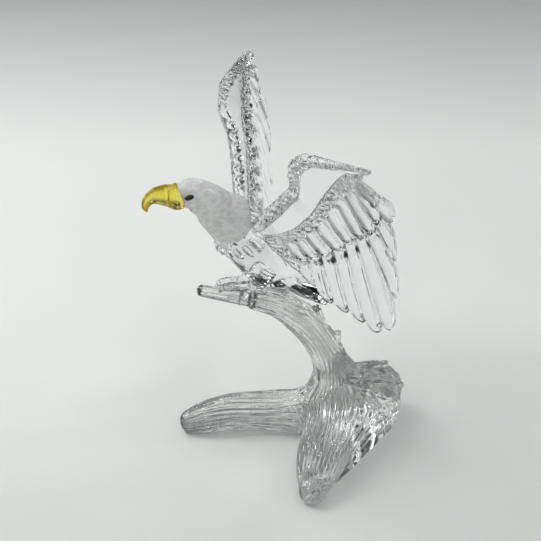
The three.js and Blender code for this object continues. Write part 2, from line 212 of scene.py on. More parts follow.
def polish(mesh, passes):
    """Smooths a skin without shrinking it: each pass moves every point half way to the mean
    of its neighbours, and then a little more than half way back."""
    points = read_points(mesh)
    mean = neighbour_mean(mesh)
    for move in (0.5, -0.53) * passes:
        points += move * (mean(points) - points)
    mesh.vertices.foreach_set("co", points.ravel())
    mesh.update()


def melt_creases(mesh, crease, passes):
    """Rounds a skin where crease is above 0: each pass moves a point that share of the way to
    the mean of its neighbours."""
    points = read_points(mesh)
    mean = neighbour_mean(mesh)
    for _ in range(passes):
        points += crease[:, None] * (mean(points) - points)
    mesh.vertices.foreach_set("co", points.ravel())
    mesh.update()


def limb_place(points, stations, reference):
    """Where points lie on a limb: length along it, angle round it, distance from its axis as a
    share of its radius, that radius, and the way past the nearer of its ends. Each point takes
    the nearest of many axis points, found from |axis|^2 - 2 point . axis."""
    share = np.linspace(0, 1, axis_points)
    centre, along, across, over, half = limb_frame(stations, reference, share)
    lengths = np.concatenate([[0], np.cumsum(np.linalg.norm(np.diff(centre, axis=0), axis=1))])
    gap = (centre**2).sum(1)[None, :] - 2 * points @ centre.T
    near = gap.argmin(1)
    offset = points - centre[near]
    ahead = (offset * along[near]).sum(1)
    wide = (offset * across[near]).sum(1) / half[near, 0]
    high = (offset * over[near]).sum(1) / half[near, 1]
    past = np.where((near == 0) | (near == axis_points - 1), np.abs(ahead), 0)
    return lengths[near] + ahead, np.arctan2(wide, high), np.hypot(wide, high), half[near].mean(1), past


def valleys(phase):
    """Narrow valleys between round ridges: sqrt(sin^2 + softness) of a phase, less its mean."""
    return np.sqrt(np.sin(phase) ** 2 + valley_softness) - valley_mean


def grooves(angle, length, count, start):
    """Bark grooves, count of them round the limb. The phase sways with the length, so that the
    grooves wander, their depth swells and fades along them, and half as many broader ones make
    two ridges run together here and there."""
    sway = 1.1 * np.sin(length / 11 + start + np.sin(2 * angle))
    narrow = valleys(count * angle / 2 + sway)
    broad = valleys(count * angle / 4 + 0.6 * sway + start)
    depth = 0.72 + 0.28 * np.sin(length / 9 + 3 * angle + 2 * start)
    share = 0.5 + 0.5 * np.sin(length / 8 - 2 * angle + start)
    return depth * narrow + 0.45 * share * broad


def smoothstep(low, high, values):
    """0 below low, 1 above high, and 3 s^2 - 2 s^3 between."""
    s = np.clip((values - low) / (high - low), 0, 1)
    return s * s * (3 - 2 * s)


def on_branch(radius, stations):
    """Stations of a limb of the branch: way out, rise, half width, half height, as shares of
    the perch's place and of the radius."""
    return [[-out * perch_reach, 0, rise * perch_height, wide * radius, high * radius]
            for out, rise, wide, high in stations]


def on_floor(radius, reach, stations):
    """Stations of a root that lies on the floor: x and y as shares of its reach, share of the
    radius, share for its height."""
    return [[x * reach, y * reach, radius * height, share * radius, share * radius]
            for x, y, share, height in stations]


trunk_stations = on_branch(trunk_radius, [
    (-0.043, -0.08, 2.1, 2.1), (-0.017, 0.133, 1.75, 1.75), (0.03, 0.347, 1.34, 1.34),
    (0.117, 0.493, 1.14, 1.12), (0.278, 0.677, 1.04, 1.02), (0.478, 0.837, 1, 0.98),
    (0.678, 0.921, 0.9, 0.87), (0.861, 0.967, 0.76, 0.72), (0.891, 0.973, 0.6, 0.56),
    (1.098, 1.016, 0.46, 0.43), (1.343, 1.076, 0.38, 0.36),
])
left_root_stations = on_floor(left_root_radius, left_root_reach, [
    (0.062, -0.062, 1.25, 1.15), (-0.186, -0.019, 1.25, 1.05), (-0.373, 0.078, 1.1, 0.95),
    (-0.565, 0.152, 1.02, 0.9), (-0.738, 0.199, 0.94, 0.88), (-0.885, 0.217, 0.84, 0.78),
    (-1, 0.245, 0.6, 0.54),
])
front_root_stations = on_floor(front_root_radius, front_root_reach, [
    (0.084, 0.084, 1.1, 1.1), (-0.074, -0.168, 1.18, 1.05), (-0.231, -0.42, 1.06, 0.95),
    (-0.395, -0.651, 0.95, 0.82), (-0.546, -0.861, 0.76, 0.62), (-0.643, -1, 0.5, 0.42),
])
buttress_stations = on_floor(front_root_radius, front_root_reach, [
    (0.168, 0.126, 0.9, 0.6), (0.294, 0, 1.15, 0.7), (0.263, -0.221, 1.15, 0.7), (0.084, -0.441, 1, 0.6),
    (-0.168, -0.651, 0.7, 0.5), (-0.31, -0.79, 0.5, 0.36),
])
stump_stations = [[x, y, z, share * stump_radius, share * stump_radius] for x, y, z, share in (
    (8.4, 0, 10.4, 0.8), (12, -6, 15.6, 0.98), (15, -12.4, 21.2, 1))]
twig_stations = on_branch(twig_radius, [
    (0.13, 0.56, 1.1, 1.1), (0.204, 0.72, 1, 1), (0.248, 0.821, 0.95, 0.8)])
thorn_stations = on_branch(thorn_radius, [
    (0.141, 0.547, 1.6, 1.6), (0.048, 0.597, 1, 1), (-0.026, 0.627, 0.25, 0.25)])
perch_cut = ((0.93, 0.5), (0.75, 1.1), (0.45, 1.5), (0, 1.7))
stump_cut = ((0.96, 0.7), (0.9, 1.1), (0.84, 0.5), (0.76, -0.6), (0.66, -1.5), (0.54, -2.1), (0.42, -2.3),
             (0.3, -2.2), (0.15, -2.1), (0, -2))


def round_end(radius):
    """A quarter-round end profile of a given radius."""
    turn = np.linspace(0, np.pi / 2, 7)[1:]
    return np.column_stack([np.cos(turn), radius * np.sin(turn)])


def press_flank(points, grow=0):
    """Points beyond the flat flank, pressed back on to it along the way that it looks."""
    beyond = np.clip(points @ flank_looks - flank_distance - grow, 0, None)
    return points - beyond[..., None] * flank_looks


def base_limbs(grow=0):
    """The base's limbs as closed shells: trunk with perch, left root, front root, buttress,
    stump, twig and thorn."""
    left_end = round_end(left_root_radius * 0.5)
    front_end = round_end(front_root_radius * 0.5)
    return [closed_shell(rings) for rings in (
        limb(trunk_stations, sideways, 64, 6, end=perch_cut, grow=grow),
        limb(left_root_stations, up, 64, 6, end=left_end, grow=grow),
        limb(front_root_stations, up, 72, 6, end=front_end, grow=grow),
        press_flank(limb(buttress_stations, up, 64, 6, end=front_end, grow=grow), grow),
        press_flank(limb(stump_stations, sideways, 80, 6, end=stump_cut, grow=grow), grow),
        limb(twig_stations, sideways, 32, 6, end=((0.7, 0.5), (0, 0.4)), grow=grow),
        limb(thorn_stations, sideways, 24, 5, grow=grow),
    )]


# The bark runs from the trunk into each root without a break, so these three runs, and not
# the limbs, carry its grooves: down the trunk and along the left root, from the trunk's foot
# along the front root, and from the trunk's right side down to the floor under the stump.
# The end of the perch and the twig have fainter grooves of their own. Each run is its
# stations, its reference direction, its count of grooves, their depth and where they start.
front_run_looks = (0.84, -0.54, 0)
bark_runs = (
    ([(-28, 0, 67.5, 6, 6), (-17.5, 0, 57, 6.4, 6.4), (-8.6, 0, 44, 6.8, 6.8), (-3.2, 0.5, 31, 8.2, 8.2),
      (-5, 1, 18, 9.6, 9.6), (-14, 1.4, 9.6, 9.8, 9.8), (-25, 5.2, 7.8, 8.8, 8.8)]
     + left_root_stations[3:], sideways, 20, 1.0, 0.4),
    ([(-3, -2.5, 34, 8, 8), (-3, -4.5, 24, 9.5, 9.5), (-6, -11, 14, 12.4, 12.4)]
     + front_root_stations[2:], front_run_looks, 30, 1.1, 3.1),
    ([(3, -1, 33, 6.5, 6.5), (8, -3.4, 24, 8, 8), (13, -7, 15, 10, 10), (16, -11, 5, 11, 11),
      (18, -13, -4, 11, 11)], (0.62, 0.78, 0), 26, 0.55, 5.6),
    (trunk_stations[5:], sideways, 13, 0.7, 2.2),
    (twig_stations, sideways, 6, 0.6, 0.9),
)


def bark_relief(points):
    """Height of the bark over the smooth limbs: each run's grooves, weighed by how close the
    point is to that run. The weight is exp(-focus (distance^2 + past^2)), both as shares of the
    run's radius. Grooves are shallower on thin limbs, and fade at the tip of the front root.
    Also gives the point's place round and along its run, for the grain of the material."""
    total = np.zeros(len(points))
    weights = np.full(len(points), 1e-60)
    grain = np.zeros((len(points), 3))
    for stations, reference, count, depth, start in bark_runs:
        length, angle, distance, radius, past = limb_place(points, stations, reference)
        near = np.exp(-bark_focus * (distance**2 + (past / radius) ** 2))
        thick = smoothstep(2, 6.5, radius)
        height = depth * bark_depth * (0.42 + 0.58 * thick) * grooves(angle, length, count, start)
        if reference == front_run_looks:
            height *= 1 - 0.7 * smoothstep(48, 60, length)
        total += near * height
        weights += near
        drawn_out = 0.12 * length + 9 * start
        round_it = np.stack([radius * np.cos(angle), radius * np.sin(angle), drawn_out], axis=1)
        grain += near[:, None] * round_it
    return total / weights, grain / weights[:, None]


def flank_cover(points):
    """1 on the flat flank and 0 elsewhere."""
    return smoothstep(flank_distance - 2, flank_distance - 0.3, points @ flank_looks)


def face_cover(points):
    """1 on the stump's sawn face and 0 on the bark."""
    _, _, distance, _, _ = limb_place(points, stump_stations, sideways)
    centre, along = (part[0] for part in limb_frame(stump_stations, sideways, np.ones(1))[:2])
    return smoothstep(-4.2, -2.4, (points - centre) @ along) * (1 - smoothstep(0.93, 1.0, distance))


def stump_face_relief(points):
    """Ridges that fan over the stump's sawn face, as valleys and |sin| of the angle round a
    point on its trunk side, an oval knot with a groove round it, and a rough rim, which is two
    sines of the angle round the stump."""
    _, angle, distance, _, _ = limb_place(points, stump_stations, sideways)
    frames = limb_frame(stump_stations, sideways, np.ones(1))
    centre, along, across, over, _ = (part[0] for part in frames)
    offset = points - centre
    fan = centre - 1.3 * stump_radius * over + 0.2 * stump_radius * across
    reach = np.linalg.norm(points - fan, axis=1)
    spread = np.arctan2((points - fan) @ across, (points - fan) @ over)
    ray = valleys(17 * spread + 0.7 * np.sin(reach / 4) + 0.5 * np.sin(7 * spread))
    ray = ray + 0.3 * np.abs(np.sin(8 * spread - np.sin(reach / 5))) - 0.2
    oval = np.hypot((offset @ over - 0.8) / 5.2, (offset @ across + 2.2) / 4.0)
    knot = knot_height * (1 - smoothstep(0.55, 1.0, oval)) - 0.6 * np.exp(-(((oval - 1.15) / 0.16) ** 2))
    bare = smoothstep(1.0, 1.35, oval)
    crumble = np.sin(11 * angle + 2 * np.sin(3 * angle)) + 0.8 * np.sin(19 * angle + 1.5 * np.sin(7 * angle))
    rim = np.exp(-(((distance - 0.9) / 0.07) ** 2)) * smoothstep(-1.5, 0, offset @ along)
    return face_cover(points) * (ray_height * ray * bare + knot) + rim_height * rim * crumble


def crease_fill(points):
    """How far limbs that meet run into each other. Of a point's two smallest distances to the
    limbs, a and b, with a reach k, it is (k - |a - b|)^2 / (4 k), and nothing where |a - b| > k.
    Also gives how near the point is to such a crease, from 0 to 1."""
    distances = []
    for stations, reference in (
            (trunk_stations, sideways), (left_root_stations, up), (front_root_stations, up),
            (buttress_stations, up), (stump_stations, sideways)):
        _, _, distance, radius, past = limb_place(points, stations, reference)
        distances.append(np.maximum((distance - 1) * radius, past - 1.5))
    first, second = np.sort(distances, axis=0)[:2]
    inside = smoothstep(0, 3, flank_distance - points @ flank_looks)
    left = np.clip(crease_reach - (second - first), 0, None) * inside
    return left**2 / (4 * crease_reach), np.clip(left / crease_reach, 0, 1) ** 2


def raise_skin(mesh, height):
    """Moves a skin's points out along their normals by a height in millimetres each."""
    points = read_points(mesh) + height[:, None] * mm * read_points(mesh, "normal")
    mesh.vertices.foreach_set("co", points.ravel())


base = new_piece("cast_branch", base_limbs())
one_skin(base, base_grain)
polish(base.data, 4)
fill, crease = crease_fill(read_points(base.data) / mm)
raise_skin(base.data, crease_lift * fill)
melt_creases(base.data, crease, crease_passes)
skin_points = read_points(base.data) / mm
bark_height, bark_grain = bark_relief(skin_points)
bark_height *= 1 - (1 - bark_left_on_flank) * flank_cover(skin_points)
raise_skin(base.data, bark_height * (1 - face_cover(skin_points)) + stump_face_relief(skin_points))
polish(base.data, 1)
grain_store = base.data.attributes.new("bark_grain", "FLOAT_VECTOR", "POINT")
grain_store.data.foreach_set("vector", bark_grain.ravel())
trim = bmesh.new()
trim.from_mesh(base.data)
bmesh.ops.bisect_plane(trim, geom=trim.verts[:] + trim.edges[:] + trim.faces[:],
                       plane_co=(0, 0, 0), plane_no=(0, 0, -1), clear_outer=True)
bmesh.ops.holes_fill(trim, edges=[edge for edge in trim.edges if edge.is_boundary])
trim.to_mesh(base.data)
trim.free()


def set_values(node, **values):
    """Sets a node's input values by name, with _ for a space. A colour of three gets its alpha."""
    for name, value in values.items():
        whole = (*value, 1) if name in ("A", "B", "Base_Color") else value
        node.inputs[name.replace("_", " ")].default_value = whole


def add_node(owner, kind, **values):
    """A new shader node in a material or world, with its input values."""
    node = owner.node_tree.nodes.new(f"ShaderNode{kind}")
    set_values(node, **values)
    return node


def add_mix(owner, blend_type="MIX", **values):
    """A new node that mixes two colours."""
    node = add_node(owner, "Mix")
    node.data_type = "RGBA"
    node.blend_type = blend_type
    set_values(node, **values)
    return node


def join(owner, *wires):
    """Links nodes: each wire is a node, its output, the next node and its input."""
    for node, output, following, socket in wires:
        owner.node_tree.links.new(node.outputs[output], following.inputs[socket])


def crystal(name, color, roughness, transmission, ripple=0.03, ripple_size=3.0, grain=None,
            ior=crystal_ior):
    """A crystal that is see-through by plain values, with the slight ripple that its mould left.
    On the bark the ripple is drawn out along the grooves by the grain attribute."""
    material = bpy.data.materials.new(name)
    material.use_nodes = True
    shader = material.node_tree.nodes["Principled BSDF"]
    set_values(shader, Base_Color=color, Roughness=roughness, Transmission_Weight=transmission, IOR=ior)
    noise = add_node(material, "TexNoise", Detail=2, Scale=1 / (ripple_size * (1 if grain else mm)))
    bump = add_node(material, "Bump", Strength=1, Distance=ripple * mm)
    if grain:
        place = add_node(material, "Attribute")
        place.attribute_name = grain
        join(material, (place, "Vector", noise, "Vector"))
    else:
        join(material, (add_node(material, "TexCoord"), "Object", noise, "Vector"))
    join(material, (noise, "Fac", bump, "Height"), (bump, "Normal", shader, "Normal"))
    return material


def dress(piece, material, node, sharp=np.pi):
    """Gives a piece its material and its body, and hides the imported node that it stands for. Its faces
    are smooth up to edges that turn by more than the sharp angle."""
    piece.data.materials.clear()
    piece.data.materials.append(material)
    piece.data.polygons.foreach_set("use_smooth", np.ones(len(piece.data.polygons), bool))
    piece.data.set_sharp_from_angle(angle=sharp)
    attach(piece, "root")
    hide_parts(node)


cast_crystal = crystal("cast_crystal", (0.97, 0.98, 0.97), 0.0, 1.0, ripple=0.04, ripple_size=1.5,
                       grain="bark_grain", ior=heavy_crystal_ior)
dress(base, cast_crystal, "branch_base")

# Head: a satin crystal casting, sand-blasted so that it looks white beside the clear pieces.
# Its lower edge is the collar, whose sides run further back than the throat and the nape.
# The eagle's points are measured from the perch, the top of the branch between its feet.
perch = np.array([-perch_reach, 0, perch_height + 0.42 * trunk_radius])
glue_gap = 0.3
head_half_width = 6.4
neck_half_width = 10.5
collar_lag = 5
brow_tilt = 1.8
down_depth = 0.22
frost_size = 1.5
eye_length = 3.9
eye_thickness = 0.5
eye_height = 0.56
eye_tip = -0.12
eye_centre = np.array([-20.9, 5.1, 48.5])


def from_perch(stations, size):
    """Stations that are measured from the perch, with half sizes as shares of a size."""
    return [[x + perch[0], y + perch[1], z + perch[2], w * size, h * size] for x, y, z, w, h in stations]


head_stations = from_perch([
    (-22.9, 0, 47.2, 0.62, 0.82), (-18.7, 0, 47.1, 0.9, 1), (-11.6, 0, 42.6, 1.1, 1.16),
    (-8.3, 0, 38.7, 1.26, 1.36), (-3.5, 0, 34.2, neck_half_width / head_half_width, 1.62),
], head_half_width)


def head_lag(angle, share):
    """How far the head's rings lean: the collar back at the sides, the brow forward on top."""
    return (collar_lag * share**2 * np.sin(angle) ** 2 + brow_tilt * (1 - share) ** 2 * np.cos(angle))


def head_down(angle, share):
    """Faint engraved down: grooves that run back from the beak and deepen towards the collar,
    as |sin| of an angle that sways with the share, with faint rows of sin(60 share) across."""
    sway = 0.8 * np.sin(9 * share + 3 * angle) + 0.5 * np.sin(21 * share - 2 * angle)
    lines = np.abs(np.sin(22 * angle + sway)) - 0.64
    rows = np.sin(60 * share + 2 * np.sin(7 * angle))
    return down_depth * (0.15 + 0.85 * smoothstep(0.15, 0.9, share)) * (lines + 0.2 * rows)


def head_rings(grow=0, sides=36, rings=6, relief=None):
    """The head's closed rings from behind the beak to the collar."""
    return limb(head_stations, sideways, sides, rings, start=((0.8, 0.6), (0, 1)), end=((0.6, 0.4), (0, 1)),
                grow=grow, relief=relief, lag=head_lag)


def eye_rings(side, grow=0, sides=24, rows=16):
    """An oval bead: x = a cos(v) cos(u), y = b sin(v), z = c cos(v) sin(u), tipped a little."""
    v = np.linspace(-np.pi / 2, np.pi / 2, rows)[:, None]
    u = np.linspace(0, 2 * np.pi, sides, endpoint=False)[None, :]
    half = eye_length / 2
    x = (half + grow) * np.cos(v) * np.cos(u)
    y = (half * eye_thickness + grow) * np.sin(v) * np.ones_like(u)
    z = (half * eye_height + grow) * np.cos(v) * np.sin(u)
    back = x * np.cos(eye_tip) + z * np.sin(eye_tip)
    rise = z * np.cos(eye_tip) - x * np.sin(eye_tip)
    return np.stack([back, y, rise], axis=-1) + perch + eye_centre * (1, side, 1)


def carve(piece, shells, operation="DIFFERENCE"):
    """Cuts closed shells out of a piece, or fuses them on to it."""
    for shell in shells:
        tool = new_piece("tool", [shell])
        cut = piece.modifiers.new("cut", "BOOLEAN")
        cut.operation = operation
        cut.solver = "MANIFOLD"
        cut.object = tool
        settle(piece)
        bpy.data.objects.remove(tool)


def frost(material):
    """The satin's mottle of grey and white, in blotches drawn out along the neck."""
    place = add_node(material, "TexCoord")
    stretch = add_node(material, "Mapping", Scale=(0.5, 1, 1))
    noise = add_node(material, "TexNoise", Scale=1 / (frost_size * mm), Detail=3)
    sharpen = add_node(material, "MapRange", From_Min=0.38, From_Max=0.6)
    blend = add_mix(material, A=(0.8, 0.8, 0.79), B=(1, 1, 0.99))
    join(material,
         (place, "Object", stretch, "Vector"),
         (stretch, "Vector", noise, "Vector"),
         (noise, "Fac", sharpen, "Value"),
         (sharpen, "Result", blend, "Factor"),
         (blend, "Result", material.node_tree.nodes["Principled BSDF"], "Base Color"))


satin_crystal = crystal("satin_crystal", (0.93, 0.93, 0.92), 0.2, 0.3, ripple=0.07, ripple_size=0.9)
frost(satin_crystal)
head = new_piece("satin_head", [closed_shell(head_rings(sides=180, rings=24, relief=head_down))])
carve(head, [closed_shell(eye_rings(side, glue_gap * 0.4)) for side in (-1, 1)])
dress(head, satin_crystal, "head")

# Beak: a hooked casting in clear yellow crystal, glued to the front of the head. A ridge runs
# over its top, a soft fold marks the fleshy part by the head, and a groove parts its jaws.
beak_half_width = 4.2
jaw_groove = 0.3
fold_groove = 0.35
ridge_height = 0.22
nostril_depth = 0.5
beak_stations = from_perch([
    (-20, 0, 46.6, 0.7, 0.8), (-23.3, 0, 47.1, 1, 1.36), (-28.4, 0, 48.5, 0.84, 1.08),
    (-33.2, 0, 48.8, 0.6, 0.8), (-35.9, 0, 47.2, 0.4, 0.55), (-36.9, 0, 44.6, 0.22, 0.32),
    (-36.6, 0, 42.8, 0.08, 0.1),
], beak_half_width)


def beak_relief(angle, share):
    """The groove between the jaws, a fold a third of the way along, a ridge and the nostrils.
    Each is exp(-x^2) of the way from its middle over its width, faded where it ends."""
    round_it = np.abs(np.arctan2(np.sin(angle), np.cos(angle)))
    jaw = -jaw_groove * np.exp(-(((round_it - 2.15 - 0.5 * share) / 0.13) ** 2))
    jaw = jaw * (1 - smoothstep(0.5, 0.72, share))
    fold = -fold_groove * np.exp(-(((share - 0.3 - 0.02 * np.cos(round_it)) / 0.018) ** 2))
    fold = fold * smoothstep(2.4, 1.9, round_it)
    ridge = ridge_height * np.exp(-((round_it / 0.22) ** 2))
    ridge = ridge * smoothstep(0.3, 0.4, share) * (1 - smoothstep(0.8, 1, share))
    nostril = -nostril_depth * np.exp(-(((round_it - 0.95) / 0.16) ** 2) - ((share - 0.36) / 0.025) ** 2)
    return jaw + fold + ridge + nostril


def add_ramp(owner, steps):
    """A new colour ramp from rows of position and colour, in order."""
    ramp = add_node(owner, "ValToRGB")
    stops = ramp.color_ramp.elements
    stops.remove(stops[1])
    stops[0].position = steps[0][0]
    stops[0].color = (*steps[0][1], 1)
    for position, color in steps[1:]:
        stops.new(position).color = (*color, 1)
    return ramp


def beak_tone_and_highlight(material):
    """The beak's colour by height over the perch, in millimetres: amber in the lower jaw, lemon
    at mid height and olive along the ridge. The palest lemon, at mid height, is a painted
    highlight that stands for the beak's glints. It pales in the last three millimetres by the head."""
    place = add_node(material, "TexCoord")
    split = add_node(material, "SeparateXYZ")
    height = add_node(material, "MapRange", From_Min=(perch[2] + 42) * mm, From_Max=(perch[2] + 53) * mm)
    # Painted highlight: the palest lemon stop, at mid height, stands for the glints on the beak.
    ramp = add_ramp(material, (
        (0.1, (0.95, 0.62, 0.02)), (0.4, (1.0, 0.82, 0.04)), (0.62, (1.0, 0.93, 0.20)),
        (0.85, (0.95, 0.78, 0.06)), (0.98, (0.62, 0.50, 0.03))))
    root = add_node(material, "MapRange", From_Min=(perch[0] - 25) * mm, From_Max=(perch[0] - 22) * mm,
                    To_Max=0.6)
    blend = add_mix(material, B=(1.0, 0.94, 0.62))
    join(material,
         (place, "Object", split, "Vector"),
         (split, "Z", height, "Value"),
         (height, "Result", ramp, "Fac"),
         (split, "X", root, "Value"),
         (root, "Result", blend, "Factor"),
         (ramp, "Color", blend, "A"),
         (blend, "Result", material.node_tree.nodes["Principled BSDF"], "Base Color"))


yellow_crystal = crystal("yellow_crystal", (0.95, 0.72, 0.04), 0.02, 0.93, ripple=0.1, ripple_size=1.8)
beak_tone_and_highlight(yellow_crystal)
beak = new_piece("yellow_beak", [closed_shell(limb(beak_stations, sideways, 72, 16, relief=beak_relief))])
carve(beak, [closed_shell(head_rings(glue_gap))])
dress(beak, yellow_crystal, "beak")

# Eyes: two oval beads of black glass, polished, and on the real piece glued into sockets.
# Here they overlap the head: a bead's shell faces inwards, so no socket is cut for it above.
black_glass = crystal("black_glass", (0.004, 0.004, 0.004), 0.06, 0.0, ripple=0.01)
for name, side in (("left_eye", -1), ("right_eye", 1)):
    bead = new_piece(f"{name}_bead", [closed_shell(eye_rings(side, sides=48, rows=28))])
    dress(bead, black_glass, name)

# Body: a clear casting of the torso, the tail and the two legs, glued to the perch. The torso
# and the tail are cut in flat facets and polished, and a ruffle of short feathers lies behind
# the collar.
torso_half_width = 11.8
tail_half_width = 9.6
tail_thickness = 8.0
toe_radius = 2.0
ruffle_count = 18
ruffle_start = 0.19
ruffle_reach = 0.09
ruffle_half_width = 1.4
facet_angle = np.radians(16)
torso_facets = [(share, side * degrees, depth) for share, degrees, depth in (
    (0.36, 30, 0.5), (0.55, 16, 0.5), (0.6, 62, 0.6), (0.75, 38, 0.5), (0.82, 78, 0.5)) for side in (-1, 1)]
torso_stations = from_perch([
    (-7.4, 0, 34.9, 0.34, 0.36), (-4.5, 0, 32.1, 0.64, 0.66), (0.6, 0, 27.2, 0.88, 0.93),
    (6.8, 0, 19.5, 1, 1.02), (11.6, 0, 13.2, 0.96, 0.92), (16.6, 0, 7.6, 0.82, 0.76),
    (21.5, 0, 3.5, 0.64, 0.5), (24, 0, 1, 0.5, 0.34),
], torso_half_width)
tail_stations = from_perch([
    (18, 0, 5, tail_half_width * 0.66, tail_thickness * 0.675),
    (28, 0, -3, tail_half_width * 0.84, tail_thickness * 0.55),
    (36, 0, -8.6, tail_half_width, tail_thickness * 0.4),
], 1)


def torso_rings(grow=0, sides=48, rings=6):
    """The torso's closed rings from inside the collar to the root of the tail."""
    return limb(torso_stations, sideways, sides, rings, grow=grow)


def cut_facets(points):
    """Flat facets ground on the back and the sides: each takes off what is beyond a plane that
    lies a little under the skin, square to the way out at a share of the length and an angle
    round the torso."""
    for share, degrees, depth in torso_facets:
        frames = limb_frame(torso_stations, sideways, np.array([share]))
        centre, _, across, over, half = (part[0] for part in frames)
        angle = np.radians(degrees)
        skin = centre + half[1] * np.cos(angle) * over + half[0] * np.sin(angle) * across
        looks = unit(np.cos(angle) * over / half[1] + np.sin(angle) * across / half[0])
        beyond = np.clip((points - skin) @ looks + depth, 0, None)
        points = points - beyond[..., None] * looks
    return points


def toe_shell(points, side, start=((0, 0),)):
    """One toe or shank from rows of way back, way out, height and share of the toe's radius,
    with soft rings of 0.1 sin(40 share)."""
    stations = from_perch([(x, side * y, z, share, share) for x, y, z, share in points], toe_radius)
    return closed_shell(limb(stations, sideways, 20, 8, start=start, end=((0.5, 0.4), (0, 0.6)),
                             relief=lambda angle, share: 0.1 * np.sin(40 * share) * np.ones_like(angle)))


def foot_shells(side):
    """The shank with its round thigh, two front toes with their claws, and the hind toe."""
    thigh = toe_shell([(11, 4.4, 10, 2.3), (8, 4.8, 6, 1.9), (5, 4, 2.6, 1.2)], side,
                      start=((0.92, 1.2), (0.7, 2.4), (0.4, 3.2), (0, 3.5)))
    return [thigh] + [toe_shell(points, side) for points in (
        [(7, 3.4, 3, 1.1), (1, 2.3, 2.9, 1.05), (-4, 2.2, 3.6, 1), (-7, 2.2, 3.6, 0.75),
         (-8.8, 2.2, 2.2, 0.25)],
        [(5, 3.4, 2.6, 1.05), (2, 4.2, 1.8, 1), (0, 5.4, -0.8, 0.8), (-1.2, 5, -3.8, 0.3)],
        [(4, 3, 2.2, 1), (8.5, 3.6, 1.6, 0.95), (10.5, 4.6, -0.6, 0.5)],
    )]


def ruffle_shells():
    """Short feathers that lie on the torso behind the collar, as spindles in a ring. Each runs
    from a share of the torso's length over a reach. Those at the sides start further back."""
    shells = []
    for number in range(ruffle_count):
        angle = 2 * np.pi * number / ruffle_count
        first = ruffle_start + 0.1 * np.sin(angle) ** 2
        share = first + ruffle_reach * np.array([0, 0.35, 0.75, 1])
        centre, _, across, over, half = limb_frame(torso_stations, sideways, share)
        outward = np.cos(angle) * over + np.sin(angle) * across
        high, wide = half[:, 1:] * np.cos(angle), half[:, :1] * np.sin(angle)
        raise_by = np.array([-0.2, 0.3, 0.3, -0.5])[:, None]
        size = ruffle_half_width * np.array([[0.7, 0.5], [1, 0.7], [0.8, 0.6], [0.25, 0.25]])
        round_it = np.cos(angle) * across[1] - np.sin(angle) * over[1]
        stations = np.column_stack([centre + high * over + wide * across + raise_by * outward, size])
        shells.append(closed_shell(limb(stations, round_it, 8, 2)))
    return shells


clear_crystal = crystal("clear_crystal", (0.97, 0.98, 0.98), 0.0, 1.0)
tail = closed_shell(limb(tail_stations, sideways, 10, 1, end=((0.8, 1.4), (0.4, 2), (0, 2))))
trunk_room, _, _, _, _, twig_room, _ = base_limbs(glue_gap)
body = new_piece("cut_body", [closed_shell(cut_facets(torso_rings()))])
carve(body, [tail, *foot_shells(-1), *foot_shells(1), *ruffle_shells()], "UNION")
carve(body, [closed_shell(head_rings(glue_gap)), trunk_room, twig_room])
dress(body, clear_crystal, "body", sharp=facet_angle)

# Wings: two clear crystal plates, mirror images, pressed with rows of feathers on both faces
# and glued to the torso. Four lines carry each of them: the leading edge, the feather roots,
# the tips of the coverts and the tips of the flight feathers, all measured from the perch.
feather_count = 9
tip_notch = 4.6
covert_notch = 0.2
shingle_step = 0.5
edge_band_width = 4.8
root_band_width = 2.8
feather_rim = 0.22
feather_rise = 0.7
feather_crown = 0.16
low_bevel = 0.36
high_bevel = 0.5
quill_width = 0.12
quill_height = 0.05
crust_pitch = 6
least_half = 0.3
wing_span = 144.6
root_share = 0.12
leading_edge = [
    (2.5, 4, 31), (4.7, 16.5, 43.3), (6.4, 23, 50), (7.4, 31, 57.6), (6.4, 41.2, 66.2), (7, 40, 74.2),
    (10.6, 41.6, 77.4), (15.2, 46.8, 77.8), (20, 52.4, 77.9), (25, 58.2, 77.8), (28.6, 62.4, 77.5),
]
feather_roots = [
    (9, 6, 25), (14, 22.5, 32.8), (15.8, 28.5, 36.9), (17.2, 33.2, 42.2), (18.7, 39.6, 49.6),
    (20.2, 46.3, 58.1), (21.4, 52.2, 65.5), (22, 56, 70), (22.4, 58.4, 72.4), (22.8, 60, 73.8),
    (23.6, 61, 74.6),
]
covert_tips = [
    (12, 6.5, 22), (18.7, 27.2, 25.7), (20.6, 34, 29.4), (22.7, 41.2, 34.4), (24.5, 48.2, 40.2),
    (26.1, 54.4, 46), (27.9, 59.6, 50), (29.8, 63.3, 53.5), (31.2, 65.6, 59), (29.6, 67.2, 67.2),
    (28.4, 66.6, 70.6),
]
feather_tips = [
    (14, 7, 20), (22.1, 26, 13.2), (25.8, 34.4, 9), (29.2, 42.4, 8.4), (32.2, 50.7, 8.4), (35.4, 59, 7.5),
    (38.6, 66, 12.7), (38.6, 69, 33.6), (36.7, 69, 46.6), (33.3, 72.3, 65.1), (31.6, 71.4, 69.4),
]


def wing_line(points, u):
    """A smooth line at shares u of the span. The first point is the root, at -root_share, the
    last is at 1, and those between are at the middles of equal shares."""
    widest = max(out for _, out, _ in feather_tips)
    points = np.array(points) * (1, wing_span / 2 / widest, 1)
    nodes = np.vstack([points[0], 1.5 * points[1] - 0.5 * points[2], points[1:]])
    middles = len(points) - 2
    places = np.concatenate([[-root_share, 0], (np.arange(middles) + 0.5) / middles, [1]])
    return smooth_line(nodes, np.interp(u, places, np.linspace(0, 1, len(nodes))))


